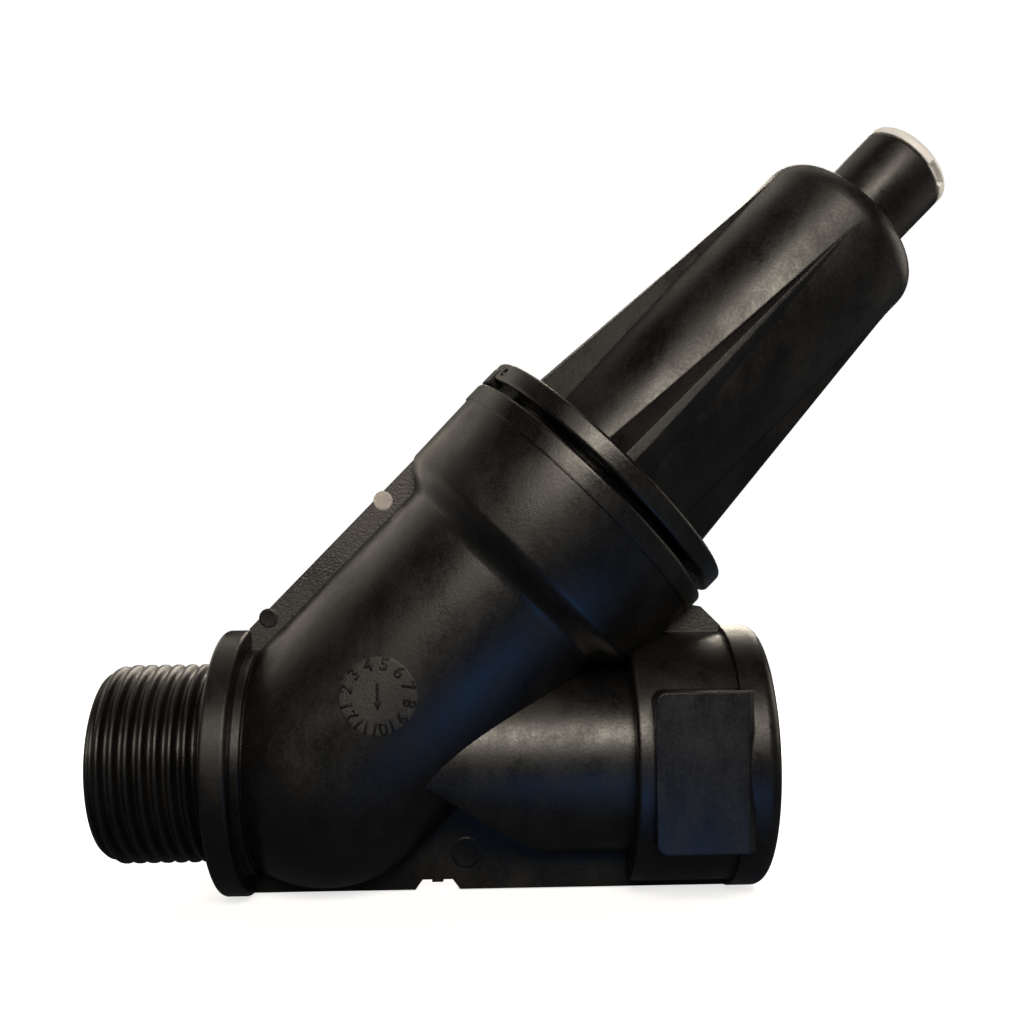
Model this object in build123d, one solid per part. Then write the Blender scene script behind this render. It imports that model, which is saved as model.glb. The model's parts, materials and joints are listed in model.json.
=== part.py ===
"""In-line Y-pattern water pressure regulator with a screwed inlet and outlet and a leaning spring bonnet.

Millimetres. +X is the flow direction along the pipe, +Z is up, and the bonnet leans 45 degrees towards
the outlet in the XZ plane. The origin is on the pipe's centre line, at the face of the collar where the
inlet thread ends. Pieces around the bonnet's centre line are made upright, with z counted along that line
from the crossing of the two centre lines, and are then leaned over into place. Bearings around that line
are degrees from the front towards the outlet side.
"""
from build123d import *
from math import cos, radians, sin, sqrt
import os

# Fits, used by every pair that they name
running = 0.08          # radial clearance of a moulded part that slides or turns in a bore
seal_running = 0.05     # radial clearance left outside a seal that slides or turns
stem_running = 0.05     # radial clearance of the steel stem and the screws
loose = 0.3             # gap between parts that never rub
seat_play = 0.1         # axial play between stacked faces
seal_seat = 0.02        # clearance between a seal and the floor and sides of its groove
fine_round = 0.4        # rounding of small moulded and turned edges
thread_lead = 0.5       # chamfer at the free end of a small thread
ring_bulge = 0.3        # corner rounding of an O-ring's section, of its smaller side

# The two centre lines
lean = 45.0
crossing_x = 13.3

# Inlet spigot with its 3/4 inch thread and collar
thread_r = 13.22
spigot_length = 15.5
lead_chamfer = 0.8
inlet_bore_r = 9.6
collar_r = 17.7
collar_width = 3.3
neck_r = 15.1
neck_width = 1.1
edge_round = 0.5
neck_root_share = 0.8   # how deep the neck runs into the barrel, of its own radius

# Barrel and the wider housing on top of it, along the bonnet's centre line
barrel_r = 16.85
body_wall = 2.95
barrel_length = 33.6
shoulder_length = 3.2
housing_foot_r = 18.1
housing_length = 10.8
band_r = 20.5
band_step = 0.2         # how far the band stands out of the housing's top
band_width = 2.7
shoulder_round = 2.2

# Partition between inlet and outlet, and the bores above it
land_start = 5.5
land_thickness = 3.5
land_hole_r = 9.6
shelf_rise = 2.9
skirt_bore_r = 15.8

# Bayonet that holds the bonnet
lip_thickness = 2.7
lip_r = 16.3
lug_chamber_r = 18.0
lug_chamber_height = 3.5
lug_count = 3
lug_pitch = 360 / lug_count
lip_gap_angle = 64.0
lug_angle = 52.0
lug_thickness = 2.9
lug_bearing = 12.0

# Outlet pipe and socket
pipe_r = 12.9
pipe_bore_r = 10.0
nose_tip_x = 12.0
nose_tip_r = 3.2
nose_end_x = 29.5
nose_round = 9.0
nose_wall_shift = 0.55  # how far the nose's inner cone moves along the pipe, of the wall
nose_core_r = 0.5       # least radius of that cone
socket_start = 39.8
socket_r = 16.6
socket_length = 17.5
ring_r = 17.4
ring_width = 4.6
ring_round = 1.6
socket_thread_r = 12.06
socket_depth = 15.5
mouth_chamfer = 1.2

# Wrench pads on the front and back of the socket
pad_start = 41.8
pad_width = 12.0
pad_height = 19.6
pad_depth = 17.6
pad_corner = 1.4
pad_chamfer = 0.8

# Webs in the parting plane
web_thickness = 2.4
web_sink = 0.2          # how deep a web's end lies in what carries it
web_reach = 19.9
web_foot_z = 17.5
web_right_drop = 2.6
notch_x = 14.4
notch_foot = 6.0
notch_top = 4.0
notch_depth = 1.35
notch_tooth_width = 1.5
notch_tooth_depth = 0.35

# Bonnet
bonnet_gap = 1.2
flange_setback = 0.15   # how far the flange's edge lies inside the housing's band
flange_thickness = 2.7
tube_foot_r = 13.0
tube_top_r = 11.95
tube_length = 46.7
tube_top_round = 3.3
spring_bore_foot_r = 10.7
spring_bore_top_r = 9.9
bonnet_roof = 3.3
bore_roof_round = 1.0
step_roof = 2.9
neck_inside_r = 16.0
fin_count = 5
fin_r = 15.8
fin_crest = 1.45
fin_length = 41.3
fin_slope = 0.9
fin_bearing = 3.0
fin_root = 1.2          # how deep a fin's root lies in the tube and in the flange's face
fin_tip_crest = 0.1
fin_tip_rise = 0.02
tab_angle = 36.0
tab_bearing = -88.0
tab_width = 1.6
tab_height = 0.8
tab_proud = 0.08
dimple_r = 0.65         # round pit in the flange's edge, by the tab
dimple_rise = 1.2
dimple_bearing = -64.0
chimney_r = 6.4
chimney_length = 10.2
chimney_bore_r = 4.7
chimney_floor = 0.7
vent_r = 0.7
vent_drop = 1.2

# Piston and its seals
cylinder_r = 13.0
piston_height = 7.0
piston_crown = 2.4
piston_skirt_wall = 3.0
hub_r = 5.0
hub_rise = 1.0          # the hub's lower face above the skirt's
pilot_height = 2.2
pilot_wall = 1.6
piston_seal_width = 2.0
piston_seal_depth = 1.8
seal_lip = 0.4
seal_lip_flare = 0.25
wear_ring_width = 1.4
wear_ring_depth = 1.0
wear_ring_slit = 0.5
wear_ring_slit_bearing = 150.0
piston_land = 0.9
spring_washer_thickness = 0.8
lift = 2.7
closing_gap = 0.05

# Stem, poppet and seat
stem_r = 2.5
stem_thread_r = 2.0
stem_collar_r = 4.0
stem_collar_thickness = 1.0
stem_cone = 0.8
seat_bore_r = 5.5
seat_ring_r = 6.7
seat_drop = 1.9
seat_lip_width = 0.5
seat_lip_height = 0.6
seat_lip_draft = 0.2
seat_ring_length = 4.4
disc_r = 7.0
disc_thickness = 2.0
disc_proud = 0.5
poppet_wall = 0.6
poppet_floor = 2.2
poppet_bevel_r = 2.4
poppet_bevel_height = 1.6
nut_width = 7.0
nut_height = 2.6
thread_end = 0.6

# Cage that carries the seat and guides the stem
spigot_groove_width = 2.0
spigot_groove_depth = 1.4
cage_r = 10.4
cage_wall = 2.2
window_count = 4
window_width = 9.0
window_start = 1.6
window_height = 9.0
window_round = 1.5
spider_thickness = 3.2
spider_hole_r = 1.6
spider_hole_count = 6
bush_r = 4.2
bush_length = 5.4
bush_flange_r = 5.2
bush_flange = 0.9
sleeve_wall = 2.0
cage_flange = 1.8

# O-ring of the bonnet skirt
bonnet_ring_width = 2.0
bonnet_ring_depth = 1.35
bonnet_ring_rise = 2.3

# Spring, its nut and the adjusting screw
wire_r = 1.1
spring_mean_r = 8.3
spring_turns = 8.0
nut_from_roof = 7.4
follower_thickness = 3.6
follower_hub_r = 5.2
follower_hub_length = 6.0
follower_margin = 0.5
key_width = 3.0
key_reach = 0.8
key_travel = 5.6
screw_thread_r = 3.0
screw_collar_r = 6.0
screw_collar_thickness = 1.2
screw_reach = 21.5
shank_r = 3.6
screw_head_height = 4.6
hex_width = 4.0
hex_depth = 3.4
washer_thickness = 0.5
washer_overhang = 0.4
screw_ring_width = 1.4
screw_ring_depth = 1.0
screw_ring_rise = 1.2

# Push-in cap
cap_thickness = 1.75
cap_dome = 0.45
cap_round = 0.7
cap_overhang = 0.05
cap_plug_length = 3.6
cap_plug_wall = 1.0
pry_notch_angle = 34.0
pry_notch_bearing = 36.0
pry_notch_depth = 0.9
pry_notch_height = 0.75

# Heights along the bonnet's centre line that several pieces share
shoulder_t = barrel_length
foot_t = shoulder_t + shoulder_length
band_t = foot_t + housing_length
rim_t = band_t + band_width
flange_t = rim_t + bonnet_gap
tube_t = flange_t + flange_thickness
roof_t = tube_t + tube_length
chimney_t = roof_t + chimney_length
land_t = land_start + land_thickness
shelf_t = shoulder_t + shelf_rise
cage_top_t = shelf_t + cage_flange
skirt_t = cage_top_t + seat_play
lip_t = rim_t - lip_thickness
lug_floor_t = lip_t - lug_chamber_height
piston_t = cage_top_t + 2 * seat_play
piston_top_t = piston_t + piston_height
spring_foot_t = piston_top_t + spring_washer_thickness
cylinder_top_t = tube_t - step_roof
bore_roof_t = roof_t - bonnet_roof
seat_t = land_start - seat_drop
disc_t = seat_t - lift - closing_gap
follower_t = bore_roof_t - nut_from_roof - follower_thickness
screw_collar_t = bore_roof_t - seat_play - washer_thickness - screw_collar_thickness
chimney_floor_t = roof_t + chimney_floor

# Radii that follow from a bore, a wall or a neighbour
housing_top_r = band_r - band_step
flange_r = band_r - flange_setback
cavity_r = barrel_r - body_wall
skirt_r = skirt_bore_r - running
lug_r = lug_chamber_r - loose
piston_r = cylinder_r - running
spigot_r = land_hole_r - running
sleeve_r = cavity_r - loose
poppet_r = disc_r + poppet_wall
socket_end = socket_start + socket_length
over = 1.0              # how far a cutter runs past the face that it opens


def turned(points, rounds=None):
    """A solid of revolution about z from (radius, height) corners; rounds gives some corners a radius."""
    outline = Polyline(*[(r, 0, z) for r, z in points], close=True)
    face = make_face(outline)
    for number, radius in (rounds or {}).items():
        r, z = points[number]
        corner = face.vertices().sort_by_distance((r, 0, z))[0]
        face = fillet(corner, radius)
    return revolve(face, Axis.Z)


def leaned(shape):
    """Leans a piece made upright over to the bonnet's centre line."""
    return shape.moved(Location((crossing_x, 0, 0), (0, lean, 0)))


def piped(shape):
    """Lays a piece made upright along the pipe's centre line, with its z on +X and z = 0 at the crossing."""
    return shape.moved(Location((crossing_x, 0, 0), (0, 90, 0)))


def tube(outer, inner, low, high):
    """A plain ring or tube about z."""
    return turned([(inner, low), (outer, low), (outer, high), (inner, high)])


def rod(radius, low, high):
    """A plain cylinder about z."""
    return Pos(0, 0, low) * Cylinder(radius, high - low, align=(Align.CENTER, Align.CENTER, Align.MIN))


def sector(outer, inner, low, high, middle, width):
    """A part of a ring about z, with its middle at a bearing."""
    outline = Polyline((inner, 0, low), (outer, 0, low), (outer, 0, high), (inner, 0, high), close=True)
    start = middle - 90 - width / 2
    return Rot(0, 0, start) * revolve(make_face(outline), Axis.Z, revolution_arc=width)


def around(shape, bearing):
    """Turns a piece made at bearing 90, on local +x, to another bearing."""
    return Rot(0, 0, bearing - 90) * shape


def o_ring(floor_r, top_r, low, high):
    """A round-section seal squeezed to its groove: flat inside and outside, with bulged sides."""
    bulge = min(top_r - floor_r, high - low) * ring_bulge
    corners = [(floor_r, low), (top_r, low), (top_r, high), (floor_r, high)]
    return turned(corners, {number: bulge for number in range(4)})


def hex_prism(width, low, high):
    """A hexagonal prism about z, measured across its flats."""
    return Pos(0, 0, low) * extrude(RegularPolygon(width / 2, 6, major_radius=False), high - low)


def lean_point(t, r):
    """The (x, z) place, from the crossing, of a point t along the bonnet's centre line and r to its left."""
    a = radians(lean)
    return t * sin(a) - r * cos(a), t * cos(a) + r * sin(a)


def web_edge_z(x):
    """Height of the upper web's outer edge at a place along the pipe."""
    a = radians(lean)
    t = (x + web_reach * cos(a)) / sin(a)
    return t * cos(a) + web_reach * sin(a)


def web_plate(points):
    """A plate in the parting plane from (x, z) corners that are counted from the crossing."""
    outline = Polyline(*[(crossing_x + x, 0, z) for x, z in points], close=True)
    return extrude(make_face(outline), web_thickness / 2, dir=(0, 1, 0), both=True)


def inlet_outside():
    """Threaded spigot, collar and neck, up to the crossing."""
    end = -crossing_x - spigot_length
    face = -crossing_x
    back = face + collar_width
    deep = neck_root_share * neck_r
    points = [
        (0, end), (thread_r - lead_chamfer, end), (thread_r, end + lead_chamfer), (thread_r, face),
        (collar_r, face), (collar_r, back), (neck_r, back), (neck_r, back + neck_width),
        (deep, back + neck_width), (deep, 0), (0, 0),
    ]
    return piped(turned(points, {4: edge_round, 5: edge_round}))


def barrel_outside():
    """Rounded elbow end, barrel, shoulder, tapered housing and its rim band."""
    profile = Polyline(
        (0, 0, 0), (0, 0, rim_t), (band_r, 0, rim_t), (band_r, 0, band_t), (housing_top_r, 0, band_t),
        (housing_foot_r, 0, foot_t), (barrel_r, 0, shoulder_t), (barrel_r, 0, 0), close=True,
    )
    face = make_face(profile)
    for radius, z in ((housing_foot_r, foot_t), (barrel_r, shoulder_t)):
        face = fillet(face.vertices().sort_by_distance((radius, 0, z))[0], shoulder_round)
    face = fillet(face.vertices().sort_by_distance((band_r, 0, rim_t))[0], edge_round)
    ball = Sphere(barrel_r)
    return leaned(revolve(face, Axis.Z) + ball)


def outlet_profile(inset):
    """Corners of the bullet nose and pipe, moved in by a wall."""
    shift = inset * nose_wall_shift
    return [(nose_tip_r - inset, nose_tip_x + shift), (pipe_r - inset, nose_end_x + shift)]


def outlet_outside():
    """Bullet-nosed outlet pipe with its socket and end ring."""
    (tip_r, tip_x), (end_r, end_x) = outlet_profile(0)
    ring_start = socket_end - ring_width
    points = [
        (0, tip_x), (tip_r, tip_x), (end_r, end_x), (pipe_r, socket_start), (socket_r, socket_start),
        (socket_r, ring_start), (ring_r, ring_start), (ring_r, socket_end), (0, socket_end),
    ]
    return piped(turned(points, {2: nose_round, 4: edge_round, 7: ring_round}))


def pads():
    """The two flat wrench pads of the socket."""
    plate = Pos(pad_width / 2, 0, 0) * Box(pad_width, 2 * pad_depth, pad_height)
    left = plate.edges().filter_by(Axis.Y).group_by(Axis.X)[0]
    plate = fillet(left, pad_corner)
    right = plate.edges().filter_by(Axis.Z).group_by(Axis.X)[-1]
    plate = chamfer(right, pad_chamfer)
    return Pos(crossing_x + pad_start, 0, 0) * plate


def webs():
    """Webs in the parting plane: along the barrel, under the body, and from the housing rim to the socket."""
    inside = collar_width - crossing_x - web_sink
    ring_start = socket_end - ring_width + web_sink
    middle_t = band_t + band_width / 2
    upper = web_plate([
        (inside, 0), (inside, web_edge_z(inside)), lean_point(middle_t, web_reach), lean_point(middle_t, 0),
        (0, 0),
    ])
    rim_corner = lean_point(middle_t, web_sink - band_r)
    low_corner = (ring_start, ring_r)
    top_corner = (low_corner[0] - web_right_drop, low_corner[1] + web_right_drop)
    right = web_plate([
        (nose_tip_x, 0), lean_point(middle_t, 0), rim_corner, top_corner, low_corner, (ring_start, 0),
    ])
    tooth = notch_tooth_width / 2
    foot = -web_foot_z
    top = foot + notch_depth
    tooth_z = top - notch_tooth_depth
    lower = web_plate([
        (inside, 0), (inside, foot),
        (notch_x - notch_foot / 2, foot), (notch_x - notch_top / 2, top), (notch_x - tooth, top),
        (notch_x - tooth, tooth_z), (notch_x + tooth, tooth_z), (notch_x + tooth, top),
        (notch_x + notch_top / 2, top), (notch_x + notch_foot / 2, foot),
        (ring_start, foot), (ring_start, 0),
    ])
    return upper + right + lower


def housing_opening():
    """The round space in the housing: skirt bore, lug chamber and the mouth inside the lip."""
    return leaned(turned([
        (0, shelf_t), (skirt_bore_r, shelf_t), (skirt_bore_r, lug_floor_t), (lug_chamber_r, lug_floor_t),
        (lug_chamber_r, lip_t), (lip_r, lip_t), (lip_r, rim_t + over), (0, rim_t + over),
    ]))


def lip_gaps():
    """The gaps in the housing's lip that let the bonnet's lugs in."""
    gaps = []
    for number in range(lug_count):
        middle = lug_bearing + lug_pitch / 2 + number * lug_pitch
        gap = sector(lug_chamber_r - running, lip_r - over, lip_t - over, rim_t + over, middle, lip_gap_angle)
        gaps.append(leaned(gap))
    return gaps


def barrel_opening():
    """The hole in the partition and the barrel's cavity above it."""
    return leaned(turned([
        (0, land_start - over), (land_hole_r, land_start - over), (land_hole_r, land_t), (cavity_r, land_t),
        (cavity_r, shelf_t + over), (0, shelf_t + over),
    ]))


def inlet_opening():
    """The inlet bore and the round chamber under the partition."""
    size = 4 * socket_end
    below = Pos(0, 0, land_start - size / 2) * Box(size, size, size)
    space = piped(rod(inlet_bore_r, -crossing_x - spigot_length - over, 0)) + leaned(Sphere(cavity_r))
    return space & leaned(below)


def outlet_opening():
    """The outlet's nose, pipe bore and socket thread, kept above the partition."""
    size = 4 * socket_end
    above = Pos(0, 0, land_t + size / 2) * Box(size, size, size)
    (tip_r, tip_x), (end_r, end_x) = outlet_profile(body_wall)
    thread_start = socket_end - socket_depth
    space = piped(turned([
        (0, tip_x), (max(tip_r, nose_core_r), tip_x), (pipe_bore_r, end_x), (pipe_bore_r, thread_start),
        (socket_thread_r, thread_start), (socket_thread_r, socket_end - mouth_chamfer),
        (socket_thread_r + mouth_chamfer, socket_end), (socket_thread_r + mouth_chamfer, socket_end + over),
        (0, socket_end + over),
    ]))
    return space & leaned(above)


def make_body():
    """The moulded Y body: inlet spigot, barrel, housing, outlet socket and webs in one piece."""
    solid = inlet_outside() + barrel_outside() + outlet_outside() + webs() + pads()
    for opening in [inlet_opening(), barrel_opening(), housing_opening(), outlet_opening()] + lip_gaps():
        solid -= opening
    return solid


def make_cage():
    """Cage that stands on the partition: seat spigot, windows, stem spider and a sleeve with a flange."""
    spider_t = spider_low()
    spider_top = spider_t + spider_thickness
    foot = seat_t + seat_lip_height
    inside = cage_r - cage_wall
    sleeve_bore = sleeve_r - sleeve_wall
    bush_bore = bush_r + seal_seat
    seat_bore = seat_ring_r + seal_seat
    points = [
        (seat_bore, foot), (spigot_r, foot), (spigot_r, land_t), (cage_r, land_t), (cage_r, spider_t),
        (sleeve_r, spider_t + sleeve_r - cage_r), (sleeve_r, shelf_t), (skirt_r, shelf_t),
        (skirt_r, cage_top_t), (sleeve_bore, cage_top_t), (sleeve_bore, spider_top + window_round),
        (sleeve_bore - window_round, spider_top), (bush_bore, spider_top), (bush_bore, spider_t),
        (inside, spider_t), (inside, land_t + seat_lip_height), (seat_bore, land_t),
    ]
    cage = turned(points)
    ring_low, ring_high = cage_ring_span()
    cage -= tube(land_hole_r + over, spigot_r - spigot_groove_depth, ring_low, ring_high)
    window = Box(3 * cage_r, window_width, window_height, align=(Align.MIN, Align.CENTER, Align.MIN))
    window = fillet(window.edges().filter_by(Axis.X), window_round)
    for number in range(window_count):
        cage -= Rot(0, 0, 45 + number * 360 / window_count) * Pos(0, 0, land_t + window_start) * window
    hole_ring = inside - spider_hole_r + loose
    for number in range(spider_hole_count):
        hole = rod(spider_hole_r, spider_t - over, spider_top + over)
        cage -= Rot(0, 0, number * 360 / spider_hole_count) * Pos(hole_ring, 0, 0) * hole
    return leaned(cage)


def spider_low():
    """Lower face of the spider over the cage's windows."""
    return land_t + 2 * window_start + window_height


def cage_ring_span():
    """Lower and upper side of the O-ring groove in the cage's spigot."""
    middle = land_start + land_thickness / 2
    return middle - spigot_groove_width / 2, middle + spigot_groove_width / 2


def make_cage_o_ring():
    """Seal between the cage's spigot and the partition."""
    low, high = cage_ring_span()
    floor = spigot_r - spigot_groove_depth + seal_seat
    return leaned(o_ring(floor, land_hole_r - seal_seat, low + seal_seat, high - seal_seat))


def make_seat_ring():
    """Turned steel nozzle with a raised lip, pressed into the cage from below."""
    top = seat_t + seat_ring_length
    lip_r_out = seat_bore_r + seat_lip_width
    points = [
        (seat_bore_r, seat_t), (lip_r_out, seat_t), (lip_r_out + seat_lip_draft, seat_t + seat_lip_height),
        (seat_ring_r, seat_t + seat_lip_height), (seat_ring_r, top), (seat_bore_r + thread_lead, top),
        (seat_bore_r, top - thread_lead),
    ]
    return leaned(turned(points))


def make_guide_bush():
    """Flanged bush that guides the stem in the cage's spider."""
    spider_t = spider_low()
    spider_top = spider_t + spider_thickness
    bore = stem_r + stem_running
    points = [
        (bore, spider_top + bush_flange - bush_length), (bush_r, spider_top + bush_flange - bush_length),
        (bush_r, spider_top + seal_seat), (bush_flange_r, spider_top + seal_seat),
        (bush_flange_r, spider_top + bush_flange), (bore, spider_top + bush_flange),
    ]
    return leaned(turned(points, {4: fine_round}))


def make_stem():
    """Steel stem: threaded foot, clamping collar, guided shaft and threaded head."""
    shoulder = piston_t + hub_rise
    collar_top = disc_t + stem_collar_thickness
    foot = disc_t - disc_thickness - poppet_floor - nut_height - thread_end
    head = piston_top_t + nut_height + thread_end
    lead_r = stem_thread_r - thread_lead
    points = [
        (0, foot), (lead_r, foot), (stem_thread_r, foot + thread_lead), (stem_thread_r, disc_t),
        (stem_collar_r, disc_t), (stem_collar_r, collar_top), (stem_r, collar_top + stem_cone),
        (stem_r, shoulder), (stem_thread_r, shoulder), (stem_thread_r, head - thread_lead), (lead_r, head),
        (0, head),
    ]
    return leaned(turned(points))


def make_poppet():
    """Cup under the seat that holds the sealing disc."""
    low = disc_t - disc_thickness - poppet_floor
    rim = disc_t - disc_proud
    bore = stem_thread_r + seal_seat
    pocket = disc_r + seal_seat
    points = [
        (bore, low), (poppet_r - poppet_bevel_r, low), (poppet_r, low + poppet_bevel_height), (poppet_r, rim),
        (pocket, rim),
        (pocket, disc_t - disc_thickness - seal_seat), (bore, disc_t - disc_thickness - seal_seat),
    ]
    return leaned(turned(points, {2: 2 * fine_round}))


def make_valve_disc():
    """Elastomer disc that closes on the seat's lip."""
    bore = stem_thread_r + seal_seat
    top = disc_t - seal_seat
    points = [(bore, disc_t - disc_thickness), (disc_r, disc_t - disc_thickness), (disc_r, top), (bore, top)]
    return leaned(turned(points, {2: fine_round}))


def make_nut(face_t, upwards):
    """Hexagon nut with a chamfered outer face, on one end of the stem."""
    low = face_t if upwards else face_t - nut_height
    high = low + nut_height
    nut = hex_prism(nut_width, low, high) - rod(stem_thread_r + seal_seat, low - over, high + over)
    corner = nut_width / sqrt(3)
    flat = nut_width / 2
    cone = [(0, low), (flat, low), (corner, low + thread_lead), (corner, high), (0, high)]
    if upwards:
        cone = [(r, low + high - z) for r, z in cone]
    return leaned(nut & turned(cone))


def piston_grooves():
    """Lower and upper sides of the seal groove and of the wear ring groove."""
    wear_low = piston_t + piston_land
    seal_low = wear_low + wear_ring_width + piston_land
    return (seal_low, seal_low + piston_seal_width), (wear_low, wear_low + wear_ring_width)


def make_piston():
    """Moulded piston: grooved skirt, crown with a pilot for the spring, and the stem's hub."""
    shoulder = piston_t + hub_rise
    crown = piston_top_t - piston_crown
    inner = piston_r - piston_skirt_wall
    pilot = spring_mean_r - wire_r - loose
    pilot_top = piston_top_t + pilot_height
    points = [
        (stem_thread_r + seal_seat, shoulder), (hub_r, shoulder), (hub_r, crown), (inner, crown),
        (inner, piston_t), (piston_r, piston_t), (piston_r, piston_top_t), (pilot, piston_top_t),
        (pilot, pilot_top), (pilot - pilot_wall, pilot_top), (pilot - pilot_wall, piston_top_t),
        (stem_thread_r + seal_seat, piston_top_t),
    ]
    piston = turned(points, {3: 2 * fine_round, 5: fine_round, 6: fine_round, 8: fine_round})
    (seal_low, seal_high), (wear_low, wear_high) = piston_grooves()
    piston -= tube(piston_r + over, piston_r - piston_seal_depth, seal_low, seal_high)
    piston -= tube(piston_r + over, piston_r - wear_ring_depth, wear_low, wear_high)
    return leaned(piston)


def make_piston_seal():
    """Lip seal of the piston, with its V open to the water below."""
    (low, high), _ = piston_grooves()
    floor = piston_r - piston_seal_depth + seal_seat
    top = cylinder_r - seal_running
    middle = (floor + top) / 2
    back = top - seal_lip_flare
    points = [
        (floor, low + seal_seat), (floor + seal_lip, low + seal_seat), (middle, low + piston_seal_width / 2),
        (top - seal_lip, low + seal_seat), (top, low + seal_seat), (back, high - seal_lip),
        (back, high - seal_seat), (floor, high - seal_seat),
    ]
    return leaned(turned(points))


def make_wear_ring():
    """Flat guide band around the piston's skirt, split on the hidden side."""
    _, (low, high) = piston_grooves()
    floor = piston_r - wear_ring_depth + seal_seat
    ring = tube(cylinder_r - seal_running, floor, low + seal_seat, high - seal_seat)
    slit = Box(2 * cylinder_r, wear_ring_slit, high - low, align=(Align.MIN, Align.CENTER, Align.MIN))
    return leaned(ring - around(Pos(0, 0, low) * slit, wear_ring_slit_bearing))


def make_spring_washer():
    """Steel washer between the spring and the piston's crown."""
    inner = spring_mean_r - wire_r - loose + seal_running
    outer = spring_mean_r + wire_r + loose
    return leaned(tube(outer, inner, piston_top_t, spring_foot_t))


def make_spring():
    """Compression spring with a closed turn at each end."""
    low = spring_foot_t + wire_r
    high = follower_t - wire_r
    end_turn = 2 * wire_r + seat_play
    active = high - low - 2 * end_turn
    pitches = [(end_turn, end_turn), (active / (spring_turns - 2), active), (end_turn, end_turn)]
    spring = None
    start = low
    turned_by = 0.0
    for pitch, height in pitches:
        path = Rot(0, 0, turned_by) * Pos(0, 0, start) * Helix(pitch, height, spring_mean_r)
        section = Plane(path @ 0, z_dir=path % 0) * Circle(wire_r)
        piece = sweep(section, path=path, is_frenet=True)
        spring = piece if spring is None else spring + piece
        start += height
        turned_by += 360 * height / pitch
    return leaned(spring)


def make_follower():
    """Travelling nut on top of the spring, kept from turning by two keys."""
    bore = screw_thread_r + stem_running
    outer = bore_radius(follower_t) - follower_margin
    top = follower_t + follower_thickness
    points = [
        (bore, follower_t - follower_hub_length), (follower_hub_r, follower_t - follower_hub_length),
        (follower_hub_r, follower_t), (outer, follower_t), (outer, top), (bore, top),
    ]
    nut = turned(points, {1: fine_round, 4: fine_round})
    key = Box(outer + key_reach, key_width, follower_thickness, align=(Align.MIN, Align.CENTER, Align.MIN))
    key = Pos(0, 0, follower_t) * key - rod(follower_hub_r, follower_t - over, top + over)
    return leaned(nut + key + Rot(0, 0, 180) * key)


def bore_radius(t):
    """Radius of the bonnet's drafted spring bore at a height."""
    share = (t - cylinder_top_t) / (bore_roof_t - cylinder_top_t)
    return spring_bore_foot_r + (spring_bore_top_r - spring_bore_foot_r) * share


def tube_radius(t):
    """Outer radius of the bonnet's drafted tube at a height."""
    return tube_foot_r + (tube_top_r - tube_foot_r) * (t - tube_t) / tube_length


def fin():
    """One tapering fin at bearing 90, from the flange to its point on the tube."""
    tip_t = tube_t + fin_length

    def section(t, crest_r, crest):
        root_r = tube_radius(t) - fin_root
        half = crest / 2 + (crest_r - root_r) * fin_slope
        corners = [(root_r, -half, t), (crest_r, -crest / 2, t), (crest_r, crest / 2, t), (root_r, half, t)]
        return make_face(Polyline(*corners, close=True))

    foot = section(tube_t - fin_root, fin_r, fin_crest)
    tip = section(tip_t, tube_radius(tip_t) + fin_tip_rise, fin_tip_crest)
    return loft([foot, tip], ruled=True)


def bonnet_ring_span():
    """Lower and upper side of the O-ring groove in the bonnet's skirt."""
    low = skirt_t + bonnet_ring_rise
    return low, low + bonnet_ring_width


def make_bonnet():
    """Moulded bonnet: sealed skirt, bayonet lugs, flange, finned tube and the chimney for the adjuster."""
    lug_t = lip_t - 2 * seat_play - lug_thickness
    outside = [
        (cylinder_r, skirt_t), (skirt_r, skirt_t), (skirt_r, lug_t), (neck_inside_r, lug_t),
        (neck_inside_r, flange_t), (flange_r, flange_t), (flange_r, tube_t), (tube_foot_r, tube_t),
        (tube_top_r, roof_t), (chimney_r, roof_t), (chimney_r, chimney_t), (chimney_bore_r, chimney_t),
        (chimney_bore_r, chimney_floor_t), (shank_r + stem_running, chimney_floor_t),
        (shank_r + stem_running, bore_roof_t), (spring_bore_top_r, bore_roof_t),
        (spring_bore_foot_r, cylinder_top_t), (cylinder_r, cylinder_top_t),
    ]
    rounds = {1: fine_round, 5: fine_round, 6: edge_round, 8: tube_top_round, 9: edge_round, 10: fine_round,
              15: bore_roof_round}
    bonnet = turned(outside, rounds)
    for number in range(lug_count):
        middle = lug_bearing + number * lug_pitch
        bonnet += sector(lug_r, cylinder_r + over, lug_t, lug_t + lug_thickness, middle, lug_angle)
    for number in range(fin_count):
        bonnet += around(fin(), fin_bearing + number * 360 / fin_count)
    tab_foot = flange_t - tab_height
    tab_top = flange_t + flange_thickness / 2
    bonnet += sector(flange_r + tab_proud, flange_r - tab_width, tab_foot, tab_top, tab_bearing, tab_angle)
    bonnet -= around(Pos(flange_r, 0, flange_t + dimple_rise) * Sphere(dimple_r), dimple_bearing)
    low, high = bonnet_ring_span()
    bonnet -= tube(skirt_r + over, skirt_r - bonnet_ring_depth, low, high)
    groove_reach = bore_radius(follower_t) + key_reach
    groove_height = bore_roof_t - follower_t + key_travel
    hung = (Align.MIN, Align.CENTER, Align.MAX)
    groove = Box(groove_reach, key_width + 2 * running, groove_height, align=hung)
    groove = Pos(0, 0, bore_roof_t - fine_round) * groove
    bonnet -= groove + Rot(0, 0, 180) * groove
    vent = Rot(0, 90, 0) * Cylinder(vent_r, 2 * (neck_inside_r - over))
    vent = Pos(neck_inside_r, 0, flange_t - vent_drop) * vent
    bonnet -= around(vent, lug_bearing + lug_pitch / 2)
    return leaned(bonnet)


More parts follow.
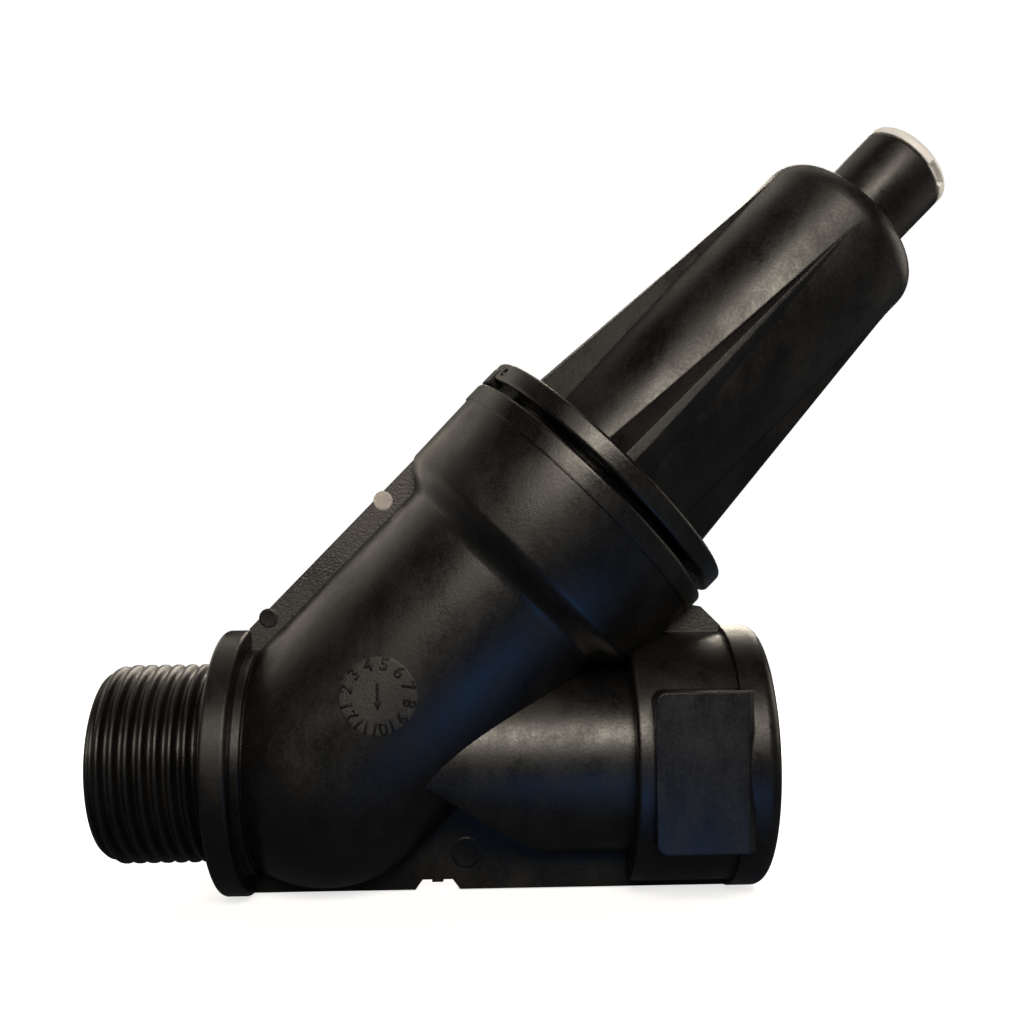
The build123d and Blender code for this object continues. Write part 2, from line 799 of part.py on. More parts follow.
def make_bonnet_o_ring():
    """Seal around the bonnet's skirt."""
    low, high = bonnet_ring_span()
    floor = skirt_r - bonnet_ring_depth + seal_seat
    return leaned(o_ring(floor, skirt_bore_r - seal_running, low + seal_seat, high - seal_seat))


def screw_ring_span():
    """Lower and upper side of the O-ring groove in the adjusting screw's shank."""
    low = bore_roof_t + screw_ring_rise
    return low, low + screw_ring_width


def make_adjusting_screw():
    """Captive adjusting screw: threaded stem, thrust collar and a sealed shank with a hexagon socket."""
    collar_top = screw_collar_t + screw_collar_thickness
    foot = screw_collar_t - screw_reach
    head = chimney_floor_t + screw_head_height
    points = [
        (0, foot), (screw_thread_r - thread_lead, foot), (screw_thread_r, foot + thread_lead),
        (screw_thread_r, screw_collar_t), (screw_collar_r, screw_collar_t), (screw_collar_r, collar_top),
        (shank_r, collar_top), (shank_r, head), (0, head),
    ]
    screw = turned(points, {4: fine_round, 7: fine_round})
    low, high = screw_ring_span()
    screw -= tube(shank_r + over, shank_r - screw_ring_depth, low, high)
    screw -= hex_prism(hex_width, head - hex_depth, head + over)
    return leaned(screw)


def make_adjuster_o_ring():
    """Seal around the adjusting screw's shank."""
    low, high = screw_ring_span()
    floor = shank_r - screw_ring_depth + seal_seat
    return leaned(o_ring(floor, shank_r + stem_running - seal_seat, low + seal_seat, high - seal_seat))


def make_thrust_washer():
    """Low-friction washer between the screw's collar and the bonnet's roof."""
    low = bore_roof_t - seat_play / 2 - washer_thickness
    return leaned(tube(screw_collar_r + washer_overhang, shank_r + seal_running, low, low + washer_thickness))


def make_cap():
    """Push-in cap that closes the chimney, with a pry notch under its rim."""
    low = chimney_t + cap_overhang
    top = low + cap_thickness
    rim_top = top - cap_dome
    plug_r = chimney_bore_r - running
    points = [
        (0, low), (plug_r - cap_plug_wall, low), (plug_r - cap_plug_wall, low - cap_plug_length),
        (plug_r, low - cap_plug_length), (plug_r, low), (chimney_r, low), (chimney_r, rim_top), (0, top),
    ]
    cap = turned(points, {3: fine_round, 6: cap_round})
    cap -= sector(chimney_r + over, chimney_r - pry_notch_depth, low - over, low + pry_notch_height,
                  pry_notch_bearing, pry_notch_angle)
    return leaned(cap)


def pieces():
    """Every piece of the regulator by its node name."""
    poppet_face = disc_t - disc_thickness - poppet_floor
    return {
        "body": make_body(),
        "bonnet": make_bonnet(),
        "bonnet_o_ring": make_bonnet_o_ring(),
        "cage": make_cage(),
        "cage_o_ring": make_cage_o_ring(),
        "seat_ring": make_seat_ring(),
        "guide_bush": make_guide_bush(),
        "stem": make_stem(),
        "poppet": make_poppet(),
        "valve_disc": make_valve_disc(),
        "poppet_nut": make_nut(poppet_face, False),
        "piston": make_piston(),
        "piston_seal": make_piston_seal(),
        "piston_wear_ring": make_wear_ring(),
        "stem_nut": make_nut(piston_top_t, True),
        "spring_washer": make_spring_washer(),
        "spring": make_spring(),
        "spring_follower": make_follower(),
        "adjusting_screw": make_adjusting_screw(),
        "adjuster_o_ring": make_adjuster_o_ring(),
        "thrust_washer": make_thrust_washer(),
        "cap": make_cap(),
    }


if __name__ == "__main__":
    os.makedirs("parts", exist_ok=True)
    for name, shape in pieces().items():
        shape.label = name
        export_step(shape, os.path.join("parts", name + ".step"))
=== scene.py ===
"""Looks of the in-line pressure regulator: finishes, threads, outer forms, mould marks, light and camera.

Everything is in metres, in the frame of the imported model: +X is the flow, +Z is up, and the origin is on the
pipe's centre line at the face of the collar. "Upright" coordinates have z along the bonnet's centre line,
counted from the crossing of the two centre lines, and bearing 0 at the front.
"""
import json
from math import cos, pi, radians, sin, tau

import bmesh
import bpy
from mathutils import Matrix, Vector


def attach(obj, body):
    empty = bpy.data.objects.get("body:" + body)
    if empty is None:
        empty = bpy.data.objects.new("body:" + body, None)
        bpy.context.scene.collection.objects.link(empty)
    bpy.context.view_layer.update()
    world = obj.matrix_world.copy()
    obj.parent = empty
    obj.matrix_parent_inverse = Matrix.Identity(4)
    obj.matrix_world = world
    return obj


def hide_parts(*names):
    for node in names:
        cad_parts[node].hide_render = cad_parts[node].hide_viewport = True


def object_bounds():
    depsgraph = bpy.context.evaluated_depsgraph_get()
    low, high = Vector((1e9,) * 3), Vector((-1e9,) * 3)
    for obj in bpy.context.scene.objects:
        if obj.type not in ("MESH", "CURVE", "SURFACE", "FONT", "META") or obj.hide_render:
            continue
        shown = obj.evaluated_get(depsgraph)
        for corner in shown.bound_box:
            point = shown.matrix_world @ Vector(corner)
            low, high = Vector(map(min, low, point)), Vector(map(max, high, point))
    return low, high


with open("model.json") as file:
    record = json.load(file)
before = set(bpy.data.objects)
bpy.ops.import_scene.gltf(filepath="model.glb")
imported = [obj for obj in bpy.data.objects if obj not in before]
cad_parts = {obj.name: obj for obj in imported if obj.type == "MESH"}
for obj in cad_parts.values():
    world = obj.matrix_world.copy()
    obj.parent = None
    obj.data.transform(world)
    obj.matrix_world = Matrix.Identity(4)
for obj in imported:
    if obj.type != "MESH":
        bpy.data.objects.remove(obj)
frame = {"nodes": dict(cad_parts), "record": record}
cad_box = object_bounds()

mm = 0.001
crossing = Vector((13.3, 0, 0)) * mm
lean = radians(45)
upright = Matrix.Translation(crossing) @ Matrix.Rotation(lean, 4, "Y")

# Meshes: points closer than this are merged, and the finer one is for small marks
merge_gap = 0.002 * mm
fine_merge_gap = 0.0005 * mm

# Camera, from the photograph
image_width = 1024
sensor_width = 36       # mm
eye = Vector((36.2, -152.6, 21.0)) * mm
yaw = radians(0.77)
pitch = radians(0.52)
roll = radians(-0.88)
focal_px = 1128.0
lens_drop_px = 100.0    # the photograph's crop puts the lens axis this far below its middle

# Threads: 3/4 inch pipe, outside on the inlet and inside in the outlet socket
thread_pitch = 1.814 * mm
thread_crest_r = 13.22 * mm
thread_root_r = 12.06 * mm
thread_slack = 0.03 * mm
crest_slack = 0.06 * mm
flank_gain = 1.25       # steepens the rounded flanks
flank_cut = 0.10        # flattens the root
spigot_end_x = -15.5 * mm
collar_depth = 0.3 * mm
socket_floor_x = 55.1 * mm
socket_mouth_x = 70.6 * mm
lead_length = 2.4 * mm
turn_steps = 128
profile_steps = 12

# Shoulder of the housing, over the leaner solid one: heights and radii along the bonnet's centre line
barrel_r = 16.85 * mm
shoulder_low_t = 33.4 * mm
shoulder_high_t = 37.6 * mm
shoulder_sink = 0.05 * mm
shoulder_top_r = 20.15 * mm
shoulder_steps = 16
housing_top_t = 47.6 * mm
housing_top_r = 20.28 * mm
ring_steps = 192

# Outlet pipe's full round front, cut off below by a slanting plane: offsets from the crossing
pipe_r = 12.95 * mm
pipe_end_x = 40.0 * mm
cut_x = 14.2 * mm
cut_z = -2.2 * mm
cut_fall = 0.68
barrel_sink_r = 16.5 * mm
pipe_columns = 24
pipe_rows = 65
cut_rows = 33

# Date clock on the front of the barrel
clock_t = 12.95 * mm
clock_bearing = radians(-3.7)
clock_r = 4.85 * mm
clock_rise = 0.06 * mm
digit_ring_r = 3.85 * mm
digit_size = 2.2 * mm
digit_rise = 0.16 * mm
month_turn = radians(30)
clock_turn = radians(-17) - 4 * month_turn
clock_steps = 96

# Ejector marks on the front of the webs: (x, z, radius) in mm
web_face_y = -1.2 * mm
web_slack = 0.02 * mm
painted_light_web_low_z = 15 * mm     # above this the web's face is rougher, and its paler tone is painted light
ejector_rise = 0.05 * mm
mark_steps = 48
bright_mark = (21.2, 34.8, 1.3)
plain_marks = [(5.65, 19.3, 1.3), (31.6, -12.6, 2.1)]

# Floor: its glow grows from the first value to the second between the two distances from under the part
floor_size = 4.0
floor_tone = (0.86, 0.86, 0.86)
floor_glow = (0.72, 1.0)
floor_glow_reach = (0.05, 0.15)
floor_middle = (0.03, 0.0)

# Painted reflection: to plastic and metal the floor is nearly black with a faint glow, and one glowing blue
# patch in front on the right stands in for a blue lamp
painted_reflection_tone = (0.01, 0.02, 0.04)
painted_reflection_glow = 0.05
painted_blue_reflection_tone = (0.10, 0.34, 0.84)
painted_blue_reflection_middle = (0.058, -0.052)
painted_blue_reflection_strength = 1.3
painted_blue_reflection_reach = (0.006, 0.034)

# Lamps and world
lamp_aim = Vector((30, 0, 20)) * mm
lamp_tone = (1.0, 0.90, 0.76)
lamps = {
    # name: place in mm, width and height in m, watts
    "key": ((50, -345, 210), 0.20, 0.14, 1.15),
    "top": ((60, 120, 330), 0.30, 0.20, 0.15),
    "rear": ((120, 330, 190), 0.24, 0.20, 0.9),
    "right": ((400, 60, 120), 0.24, 0.20, 0.25),
    "back": ((-260, 210, 200), 0.40, 0.40, 0.50),
}
world_tone = (0.90, 0.92, 1.0)
world_strength = 0.015


class Graph:
    """Short helpers for building one material's node tree."""

    def __init__(self, name):
        self.material = bpy.data.materials.new(name)
        self.material.use_nodes = True
        self.tree = self.material.node_tree
        self.tree.nodes.clear()
        self.output = self.tree.nodes.new("ShaderNodeOutputMaterial")

    def add(self, kind, inputs=None, **settings):
        node = self.tree.nodes.new("ShaderNode" + kind)
        for key, value in settings.items():
            setattr(node, key, value)
        for key, value in (inputs or {}).items():
            if isinstance(value, bpy.types.NodeSocket):
                self.tree.links.new(value, node.inputs[key])
            else:
                node.inputs[key].default_value = value
        return node

    def noise(self, scale, detail=3.0, rough=0.5, place=None):
        node = self.add("TexNoise", {"Scale": scale, "Detail": detail, "Roughness": rough})
        self.tree.links.new(place or self.place(), node.inputs["Vector"])
        return node.outputs["Fac"]

    def place(self):
        if not hasattr(self, "coordinates"):
            self.coordinates = self.add("TexCoord").outputs["Object"]
        return self.coordinates

    def stretched(self, scale):
        return self.add("Mapping", {"Vector": self.place(), "Scale": scale}).outputs["Vector"]

    def spread(self, value, low, high, start=0.35, end=0.65):
        limits = {"From Min": start, "From Max": end, "To Min": low, "To Max": high}
        return self.add("MapRange", {"Value": value, **limits}).outputs["Result"]

    def math(self, operation, first, second):
        return self.add("Math", {0: first, 1: second}, operation=operation).outputs["Value"]

    def ramp(self, value, stops):
        node = self.add("ValToRGB", {"Fac": value})
        while len(node.color_ramp.elements) < len(stops):
            node.color_ramp.elements.new(1.0)
        for element, (position, colour) in zip(node.color_ramp.elements, stops):
            element.position = position
            element.color = (*colour, 1)
        return node.outputs["Color"]

    def bump(self, height, strength, distance, normal=None):
        inputs = {"Height": height, "Strength": strength, "Distance": distance}
        if normal:
            inputs["Normal"] = normal
        return self.add("Bump", inputs).outputs["Normal"]

    def distance(self, x, y):
        """How far a place on the floor is from one point of it."""
        offset = self.add("VectorMath", {0: self.place(), 1: (x, y, 0)}, operation="SUBTRACT")
        level = {0: offset.outputs["Vector"], 1: (1, 1, 0)}
        flat = self.add("VectorMath", level, operation="MULTIPLY").outputs["Vector"]
        return self.add("VectorMath", {0: flat}, operation="LENGTH").outputs["Value"]

    def edges(self, radius):
        return self.add("Bevel", {"Radius": radius}, samples=4).outputs["Normal"]

    def finish(self, **inputs):
        shader = self.add("BsdfPrincipled", {key.replace("_", " "): value for key, value in inputs.items()})
        self.tree.links.new(shader.outputs["BSDF"], self.output.inputs["Surface"])
        return self.material


def black_nylon(name="black_nylon", tone=1.0, roughness=0.37, grain=1.0):
    """Satin black glass-filled nylon: mottled flow marks, fine fibre grain and softly rounded edges."""
    g = Graph(name)
    flow = g.noise(110, 5, 0.7, g.stretched((1, 1, 0.6)))
    speckle = g.noise(2600, 2, 0.6)
    dark = [c * tone for c in (0.0018, 0.0017, 0.0019)]
    light = [c * tone for c in (0.0050, 0.0046, 0.0044)]
    colour = g.ramp(flow, [(0.3, dark), (0.7, light)])
    fleck = g.ramp(speckle, [(0.55, (0.5, 0.5, 0.5)), (0.72, (0.75, 0.74, 0.72))])
    layers = {"Factor": 1.0, "A": colour, "B": fleck}
    mixed = g.add("Mix", layers, data_type="RGBA", blend_type="OVERLAY")
    mottle = g.spread(flow, roughness - 0.11, roughness + 0.11)
    rough = g.math("ADD", mottle, g.spread(speckle, -0.02, 0.05))
    normal = g.bump(g.noise(420, 2, 0.5), 0.20, 0.00008, g.edges(0.35 * mm))
    normal = g.bump(speckle, 0.30 * grain, 0.00004, normal)
    return g.finish(Base_Color=mixed.outputs["Result"], Roughness=rough, Normal=normal, IOR=1.52)


def white_cap():
    """Off-white moulded polyolefin, slightly translucent."""
    g = Graph("white_cap")
    cloud = g.noise(180, 3, 0.5)
    colour = g.ramp(cloud, [(0.3, (0.74, 0.74, 0.74)), (0.7, (0.84, 0.85, 0.86))])
    normal = g.bump(g.noise(1500, 2, 0.5), 0.12, 0.00003, g.edges(0.25 * mm))
    return g.finish(Base_Color=colour, Roughness=g.spread(cloud, 0.34, 0.46), Normal=normal,
                    Subsurface_Weight=0.12, Subsurface_Radius=(0.004, 0.003, 0.002), Subsurface_Scale=0.4)


def acetal():
    """Natural acetal mouldings inside."""
    g = Graph("acetal")
    cloud = g.noise(160, 3, 0.5)
    colour = g.ramp(cloud, [(0.3, (0.66, 0.65, 0.60)), (0.7, (0.78, 0.77, 0.72))])
    normal = g.bump(g.noise(1800, 2, 0.5), 0.10, 0.00003, g.edges(0.2 * mm))
    return g.finish(Base_Color=colour, Roughness=g.spread(cloud, 0.30, 0.42), Normal=normal)


def bearing_plastic():
    """Waxy grey bearing plastic."""
    g = Graph("bearing_plastic")
    cloud = g.noise(400, 3, 0.5)
    colour = g.ramp(cloud, [(0.3, (0.42, 0.41, 0.38)), (0.7, (0.54, 0.53, 0.49))])
    return g.finish(Base_Color=colour, Roughness=g.spread(cloud, 0.38, 0.52),
                    Normal=g.bump(cloud, 0.1, 0.00003))


def seal_rubber():
    """Black elastomer with a dull bloom."""
    g = Graph("seal_rubber")
    bloom = g.noise(500, 3, 0.6)
    colour = g.ramp(bloom, [(0.3, (0.014, 0.014, 0.014)), (0.7, (0.032, 0.031, 0.030))])
    normal = g.bump(g.noise(3500, 2, 0.5), 0.2, 0.00003)
    return g.finish(Base_Color=colour, Roughness=g.spread(bloom, 0.5, 0.68), Normal=normal)


def steel(name, colour, rings):
    """Turned or drawn stainless steel, with fine marks around the bonnet's centre line."""
    g = Graph(name)
    turned = g.add("VectorRotate", {"Vector": g.place(), "Angle": -lean}, rotation_type="Y_AXIS")
    fine = g.add("Mapping", {"Vector": turned.outputs["Vector"], "Scale": (1, 1, rings)}).outputs["Vector"]
    marks = g.noise(900, 3, 0.6, fine)
    tint = g.ramp(marks, [(0.3, [c * 0.85 for c in colour]), (0.7, colour)])
    return g.finish(Base_Color=tint, Metallic=1.0, Roughness=g.spread(marks, 0.20, 0.36),
                    Normal=g.bump(marks, 0.12, 0.00002))


def floor_finish():
    """White floor that stays white to the camera, also far from the lamps, and keeps the object's shadow. To
    reflections it is a painted reflection: nearly black, with one glowing blue patch.
    """
    g = Graph("floor")
    path = g.add("LightPath").outputs
    seen = g.math("MAXIMUM", path["Is Camera Ray"], path["Is Transmission Ray"])
    # painted reflection: to reflections the floor glows faintly and is nearly black
    seen = g.math("MAXIMUM", seen, g.math("MULTIPLY", path["Is Glossy Ray"], painted_reflection_glow))
    tone = g.ramp(path["Is Glossy Ray"], [(0.0, floor_tone), (1.0, painted_reflection_tone)])
    lift = g.math("MULTIPLY", seen, g.spread(g.distance(*floor_middle), *floor_glow, *floor_glow_reach))
    # painted reflection: a glowing blue patch on the floor in front on the right, seen only in reflections
    painted_blue_reflection = g.spread(g.distance(*painted_blue_reflection_middle), painted_blue_reflection_strength, 0.0, *painted_blue_reflection_reach)
    painted_blue_reflection = g.math("MULTIPLY", path["Is Glossy Ray"], painted_blue_reflection)
    diffuse = g.add("BsdfDiffuse", {"Color": tone}).outputs["BSDF"]
    glow = g.add("Emission", {"Color": (1, 1, 1, 1), "Strength": lift}).outputs["Emission"]
    blue = g.add("Emission", {"Color": (*painted_blue_reflection_tone, 1), "Strength": painted_blue_reflection}).outputs["Emission"]
    both = g.add("AddShader", {0: diffuse, 1: glow}).outputs["Shader"]
    both = g.add("AddShader", {0: both, 1: blue}).outputs["Shader"]
    g.tree.links.new(both, g.output.inputs["Surface"])
    return g.material


def set_finish(piece, material):
    piece.data.materials.clear()
    piece.data.materials.append(material)


def new_piece(name, points, faces, smooth=True):
    mesh = bpy.data.meshes.new(name)
    mesh.from_pydata([tuple(p) for p in points], [], faces)
    mesh.validate()
    mesh.shade_smooth() if smooth else mesh.shade_flat()
    piece = bpy.data.objects.new(name, mesh)
    bpy.context.scene.collection.objects.link(piece)
    return piece


def merge_points(piece, distance):
    bm = bmesh.new()
    bm.from_mesh(piece.data)
    bmesh.ops.remove_doubles(bm, verts=bm.verts, dist=distance)
    bmesh.ops.dissolve_degenerate(bm, edges=bm.edges, dist=distance)
    bm.to_mesh(piece.data)
    bm.free()


def ring_faces(rings, steps):
    """Faces that join closed rings of points, one ring after the other."""
    faces = []
    for ring in range(rings - 1):
        for step in range(steps):
            a, b = ring * steps + step, ring * steps + (step + 1) % steps
            faces.append((a, b, b + steps, a + steps))
    return faces


def thread_profile(share):
    """Height of a pipe thread's rounded profile at a share of one pitch: 0 is its root and 1 its crest."""
    flank = 0.5 - 0.5 * cos(tau * share)
    return min(1.0, max(0.0, flank_gain * flank - flank_cut))


def thread_surface(name, start_x, end_x, root_r, crest_r, lead_at_start):
    """The whole threaded face of a pipe end, as rows that follow the helix."""
    turns = (end_x - start_x) / thread_pitch + 1
    rows = int(turns * profile_steps) + 2
    columns = turn_steps + 1
    points = []
    for row in range(rows):
        height = thread_profile(row / profile_steps)
        for column in range(columns):
            share = column / turn_steps
            x = start_x + (row / profile_steps + share - 1) * thread_pitch
            x = min(max(x, start_x), end_x)
            from_mouth = (x - start_x) if lead_at_start else (end_x - x)
            lead = min(1.0, from_mouth / lead_length)
            lead = lead * (2 - lead)
            r = root_r + (crest_r - root_r) * min(height, lead)
            angle = tau * share
            points.append((x, r * cos(angle), r * sin(angle)))
    faces = []
    for row in range(rows - 1):
        for column in range(turn_steps):
            a = row * columns + column
            faces.append((a, a + 1, a + columns + 1, a + columns))
    piece = new_piece(name, points, faces)
    merge_points(piece, merge_gap)
    return piece


def bored_body():
    """A copy of the body with both pipe ends taken back to the threads' roots, where the helices then sit."""
    piece = frame["nodes"]["body"].copy()
    piece.data = piece.data.copy()
    piece.name = "body_shell"
    piece.parent = None
    bpy.context.scene.collection.objects.link(piece)
    inlet_r = thread_root_r - thread_slack
    socket_r = thread_crest_r + thread_slack
    for vertex in piece.data.vertices:
        x, y, z = vertex.co
        r = (y * y + z * z) ** 0.5
        on_spigot = x < crest_slack and inlet_r < r < thread_crest_r + crest_slack
        near_socket_wall = thread_root_r - crest_slack < r < socket_r + crest_slack
        in_socket = x > socket_floor_x - crest_slack and near_socket_wall
        if on_spigot or in_socket:
            factor = (inlet_r if on_spigot else socket_r) / r
            vertex.co = (x, y * factor, z * factor)
    return piece


def housing_shoulder():
    """The housing's outside from the barrel's shoulder up to the rim band."""
    profile = []
    for step in range(shoulder_steps + 1):
        share = step / shoulder_steps
        rise = share * share * (3 - 2 * share)
        t = shoulder_low_t + (shoulder_high_t - shoulder_low_t) * share
        profile.append((t, barrel_r - shoulder_sink + (shoulder_top_r - barrel_r) * rise))
    profile.append((housing_top_t, housing_top_r))
    points = []
    for t, r in profile:
        for step in range(ring_steps):
            angle = tau * step / ring_steps
            points.append(upright @ Vector((r * cos(angle), r * sin(angle), t)))
    return new_piece("housing_shoulder", points, ring_faces(len(profile), ring_steps))


def outlet_side(side, base):
    """Points and faces of one side of the outlet pipe, from the barrel or the slanting cut to the socket."""
    points = []
    for row in range(pipe_rows):
        angle = pi * row / (pipe_rows - 1)
        y = side * pipe_r * sin(angle)
        z = pipe_r * cos(angle)
        at_barrel = z + (2 * max(barrel_sink_r ** 2 - y * y, 0)) ** 0.5
        at_cut = cut_x + (cut_z - z) / cut_fall
        start = min(max(at_barrel, at_cut), pipe_end_x)
        for column in range(pipe_columns + 1):
            x = start + (pipe_end_x - start) * column / pipe_columns
            points.append((crossing.x + x, y, z))
    faces = []
    for row in range(pipe_rows - 1):
        for column in range(pipe_columns):
            a = base + row * (pipe_columns + 1) + column
            corners = (a, a + 1, a + pipe_columns + 2, a + pipe_columns + 1)
            faces.append(corners if side < 0 else corners[::-1])
    return points, faces


def outlet_underside(base):
    """Points and faces of the outlet pipe's flat, slanting underside."""
    points = []
    for row in range(cut_rows):
        z = cut_z + (-pipe_r - cut_z) * row / (cut_rows - 1)
        x = crossing.x + cut_x + (cut_z - z) / cut_fall
        half = max(pipe_r ** 2 - z * z, 0) ** 0.5
        points += [(x, -half, z), (x, half, z)]
    starts = [base + 2 * row for row in range(cut_rows - 1)]
    return points, [(a, a + 2, a + 3, a + 1) for a in starts]


def outlet_front():
    """The outlet pipe's round outside from the barrel to the socket, with its slanting underside."""
    points, faces = outlet_side(-1, 0)
    for more_points, more_faces in (outlet_side(1, len(points)), outlet_underside(2 * len(points))):
        points += more_points
        faces += more_faces
    piece = new_piece("outlet_front", points, faces)
    merge_points(piece, merge_gap)
    piece.data.set_sharp_from_angle(angle=radians(40))
    return piece


def on_barrel(wx, wz, height):
    """World place on the barrel's front from offsets along world X and Z about the clock's centre."""
    along = (wx + wz) * cos(lean)
    sideways = (wx - wz) * sin(lean)
    angle = clock_bearing + sideways / barrel_r
    r = barrel_r + height
    return upright @ Vector((r * sin(angle), -r * cos(angle), clock_t + along))


def clock_disc():
    """The clock's round insert, a hair proud of the barrel, with a rounded rim."""
    rings = [(0.0, 1.0), (0.3, 1.0), (0.6, 1.0), (0.9, 1.0), (0.965, 1.0), (0.985, 0.7), (1.0, -0.5)]
    points = []
    for share, rise in rings:
        for step in range(clock_steps):
            angle = tau * step / clock_steps
            r = clock_r * share
            points.append(on_barrel(r * cos(angle), r * sin(angle), clock_rise * rise))
    piece = new_piece("date_clock", points, ring_faces(len(rings), clock_steps))
    merge_points(piece, fine_merge_gap)
    return piece


def raised_text(name, text, centre, turn, size):
    """A figure that stands up from the clock's face, turned about the clock's centre."""
    curve = bpy.data.curves.new(name, "FONT")
    curve.body = text
    curve.size = size
    curve.align_x = "CENTER"
    curve.align_y = "CENTER"
    curve.extrude = digit_rise / 2
    curve.bevel_depth = digit_rise / 5
    curve.resolution_u = 4
    holder = bpy.data.objects.new(name, curve)
    bpy.context.scene.collection.objects.link(holder)
    bpy.context.view_layer.update()
    mesh = bpy.data.meshes.new_from_object(holder.evaluated_get(bpy.context.evaluated_depsgraph_get()))
    bpy.data.objects.remove(holder)
    for vertex in mesh.vertices:
        x, y, z = vertex.co
        wx = centre[0] + x * cos(turn) + y * sin(turn)
        wz = centre[1] - x * sin(turn) + y * cos(turn)
        vertex.co = on_barrel(wx, wz, clock_rise + digit_rise / 2 + z)
    piece = bpy.data.objects.new(name, mesh)
    bpy.context.scene.collection.objects.link(piece)
    return piece


def clock_figures():
    """The twelve month figures around the clock."""
    figures = []
    for number in range(1, 13):
        turn = clock_turn + month_turn * number
        centre = (digit_ring_r * sin(turn), digit_ring_r * cos(turn))
        figures.append(raised_text(f"month_{number}", str(number), centre, turn, digit_size))
    return figures


def clock_arrow():
    """The arrow in the middle of the clock."""
    half, head, top, neck, tip = 0.16, 0.42, 1.55, -0.75, -1.75
    outline = [(-half, top), (half, top), (half, neck), (head, neck), (0, tip), (-head, neck), (-half, neck)]
    points = []
    for rise in (0.0, digit_rise):
        points += [on_barrel(x * mm, z * mm, clock_rise + rise) for x, z in outline]
    count = len(outline)
    faces = [tuple(range(count, 2 * count)), tuple(reversed(range(count)))]
    faces += [(i, (i + 1) % count, (i + 1) % count + count, i + count) for i in range(count)]
    return new_piece("clock_arrow", points, faces, smooth=False)


def ejector_mark(name, x, z, radius):
    """A round ejector mark on a web's front face, slightly proud, with a soft rim."""
    rings = [(0.0, 0.6), (0.7, 0.6), (0.86, 1.0), (0.96, 0.9), (1.0, -0.4)]
    points = []
    for share, rise in rings:
        for step in range(mark_steps):
            angle = tau * step / mark_steps
            points.append((x * mm + radius * mm * share * cos(angle), web_face_y - ejector_rise * rise,
                           z * mm + radius * mm * share * sin(angle)))
    piece = new_piece(name, points, ring_faces(len(rings), mark_steps))
    merge_points(piece, fine_merge_gap)
    return piece


def add_lights():
    for name, (place, width, height, power) in lamps.items():
        data = bpy.data.lights.new(name, "AREA")
        data.energy = power
        data.color = lamp_tone
        data.shape = "RECTANGLE"
        data.size = width
        data.size_y = height
        lamp = bpy.data.objects.new(name, data)
        lamp.location = Vector(place) * mm
        lamp.visible_camera = False
        lamp.rotation_euler = (lamp_aim - lamp.location).to_track_quat("-Z", "Y").to_euler()
        bpy.context.scene.collection.objects.link(lamp)


def add_camera():
    data = bpy.data.cameras.new("camera")
    data.sensor_width = sensor_width
    data.lens = focal_px * sensor_width / image_width
    data.shift_y = lens_drop_px / image_width
    camera = bpy.data.objects.new("camera", data)
    forward = Vector((sin(yaw) * cos(pitch), cos(yaw) * cos(pitch), -sin(pitch)))
    level = Vector((cos(yaw), -sin(yaw), 0))
    right = Matrix.Rotation(-roll, 3, forward) @ level
    up = right.cross(forward)
    turn = Matrix((right, up, -forward)).transposed().to_4x4()
    camera.matrix_world = Matrix.Translation(eye) @ turn
    bpy.context.scene.collection.objects.link(camera)
    bpy.context.scene.camera = camera


def add_floor():
    z = cad_box[0][2]
    corners = [(-1, -1), (1, -1), (1, 1), (-1, 1)]
    points = [(floor_size * x, floor_size * y, z) for x, y in corners]
    floor = new_piece("floor", points, [(0, 1, 2, 3)], smooth=False)
    set_finish(floor, floor_finish())


def add_world():
    """White to the camera and through glass, and a faint even light otherwise."""
    world = bpy.data.worlds.new("studio")
    bpy.context.scene.world = world
    world.use_nodes = True
    tree = world.node_tree
    tree.nodes.clear()
    path = tree.nodes.new("ShaderNodeLightPath")
    seen = tree.nodes.new("ShaderNodeMath")
    seen.operation = "MAXIMUM"
    tree.links.new(path.outputs["Is Camera Ray"], seen.inputs[0])
    tree.links.new(path.outputs["Is Transmission Ray"], seen.inputs[1])
    mix = tree.nodes.new("ShaderNodeMixShader")
    tree.links.new(seen.outputs["Value"], mix.inputs["Fac"])
    for slot, tone, strength in ((1, world_tone, world_strength), (2, (1, 1, 1), 1.0)):
        light = tree.nodes.new("ShaderNodeBackground")
        light.inputs["Color"].default_value = (*tone, 1)
        light.inputs["Strength"].default_value = strength
        tree.links.new(light.outputs["Background"], mix.inputs[slot])
    output = tree.nodes.new("ShaderNodeOutputWorld")
    tree.links.new(mix.outputs["Shader"], output.inputs["Surface"])


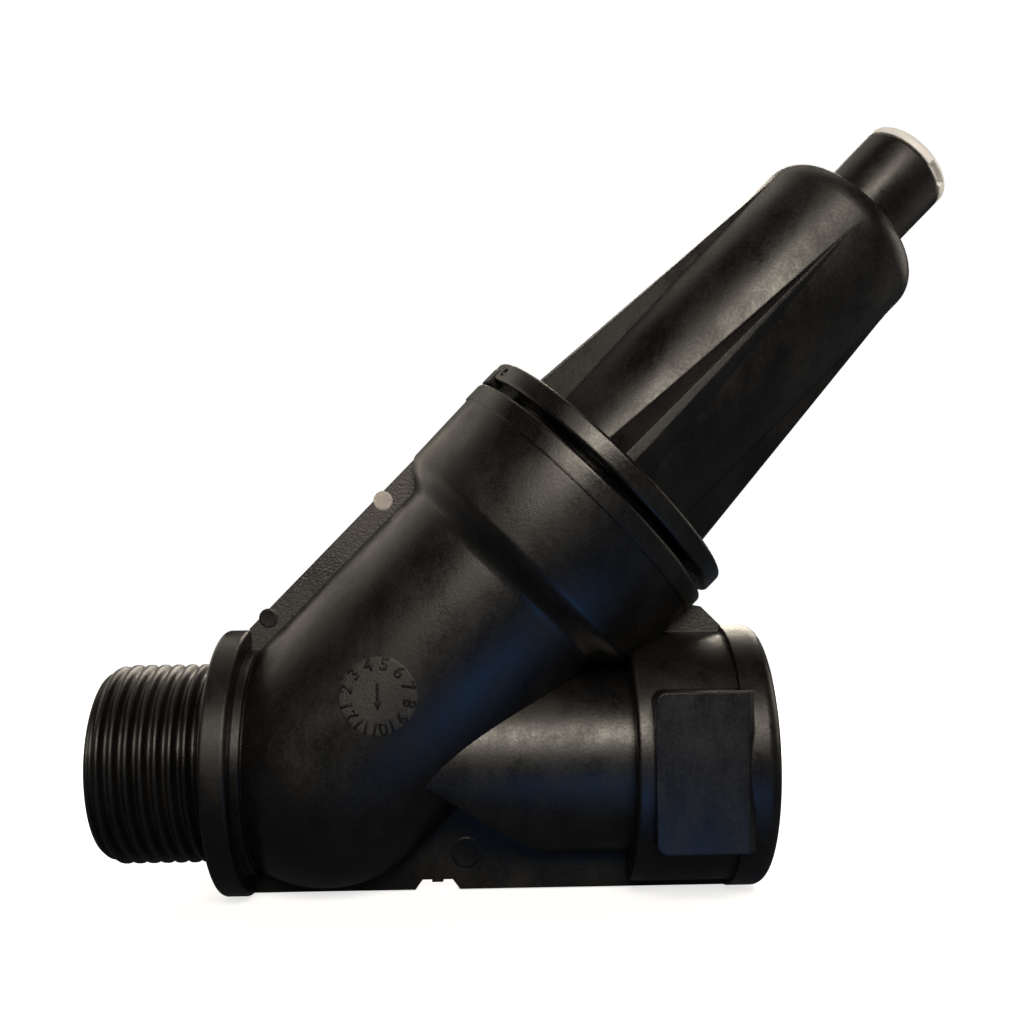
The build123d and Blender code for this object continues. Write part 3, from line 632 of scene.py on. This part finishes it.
def dress_solids():
    """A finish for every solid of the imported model. Returns the black nylon for the scene's own pieces."""
    finishes = {
        "black_nylon": black_nylon(),
        "white_cap": white_cap(),
        "acetal": acetal(),
        "bearing_plastic": bearing_plastic(),
        "seal_rubber": seal_rubber(),
        "stainless": steel("stainless", (0.62, 0.61, 0.59), 12),
        "spring_steel": steel("spring_steel", (0.55, 0.55, 0.54), 1),
    }
    for part in frame["record"]["subparts"]:
        set_finish(frame["nodes"][part["node"]], finishes[part["material_slot"]])
    return finishes["black_nylon"]


def add_body_forms(nylon):
    """The body's shell with its two threads, and the outer forms that the solids have leaner."""
    shell = bored_body()
    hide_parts("body")
    inlet = thread_surface("inlet_thread", spigot_end_x, collar_depth, thread_root_r, thread_crest_r, True)
    socket = (socket_floor_x, socket_mouth_x, thread_crest_r, thread_root_r)
    outlet = thread_surface("outlet_thread", *socket, False)
    pieces = [shell, inlet, outlet, housing_shoulder(), outlet_front()]
    for piece in pieces:
        set_finish(piece, nylon)
    # painted light: the upper web face gets a copy of the nylon nine times paler, for the light that falls on
    # it; its rougher, coarser grain is the real surface
    shell.data.materials.append(black_nylon("black_nylon_web_painted_light", tone=9.0, roughness=0.42, grain=6.0))
    for face in shell.data.polygons:
        on_web = abs(abs(face.center.y) - abs(web_face_y)) < web_slack and abs(face.normal.y) > 0.99
        if on_web and face.center.z > painted_light_web_low_z:
            face.material_index = 1
    return pieces


def add_mould_marks():
    """The date clock and the ejector marks."""
    rough_nylon = black_nylon("black_nylon_rough", tone=4.5, roughness=0.5, grain=4.0)
    figure_nylon = black_nylon("black_nylon_figures", tone=0.5, roughness=0.34)
    bright_nylon = black_nylon("black_nylon_bright", tone=90.0, roughness=0.34)
    disc = clock_disc()
    set_finish(disc, rough_nylon)
    raised = clock_figures() + [clock_arrow()]
    bright = ejector_mark("ejector_mark_bright", *bright_mark)
    set_finish(bright, bright_nylon)
    raised += [ejector_mark(f"ejector_mark_{number}", *mark) for number, mark in enumerate(plain_marks, 1)]
    for piece in raised:
        set_finish(piece, figure_nylon)
    return [disc, bright] + raised


nylon = dress_solids()
for piece in add_body_forms(nylon) + add_mould_marks():
    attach(piece, "valve_body")
add_camera()
add_floor()
add_world()
add_lights()
bpy.context.scene.view_settings.view_transform = "Standard"
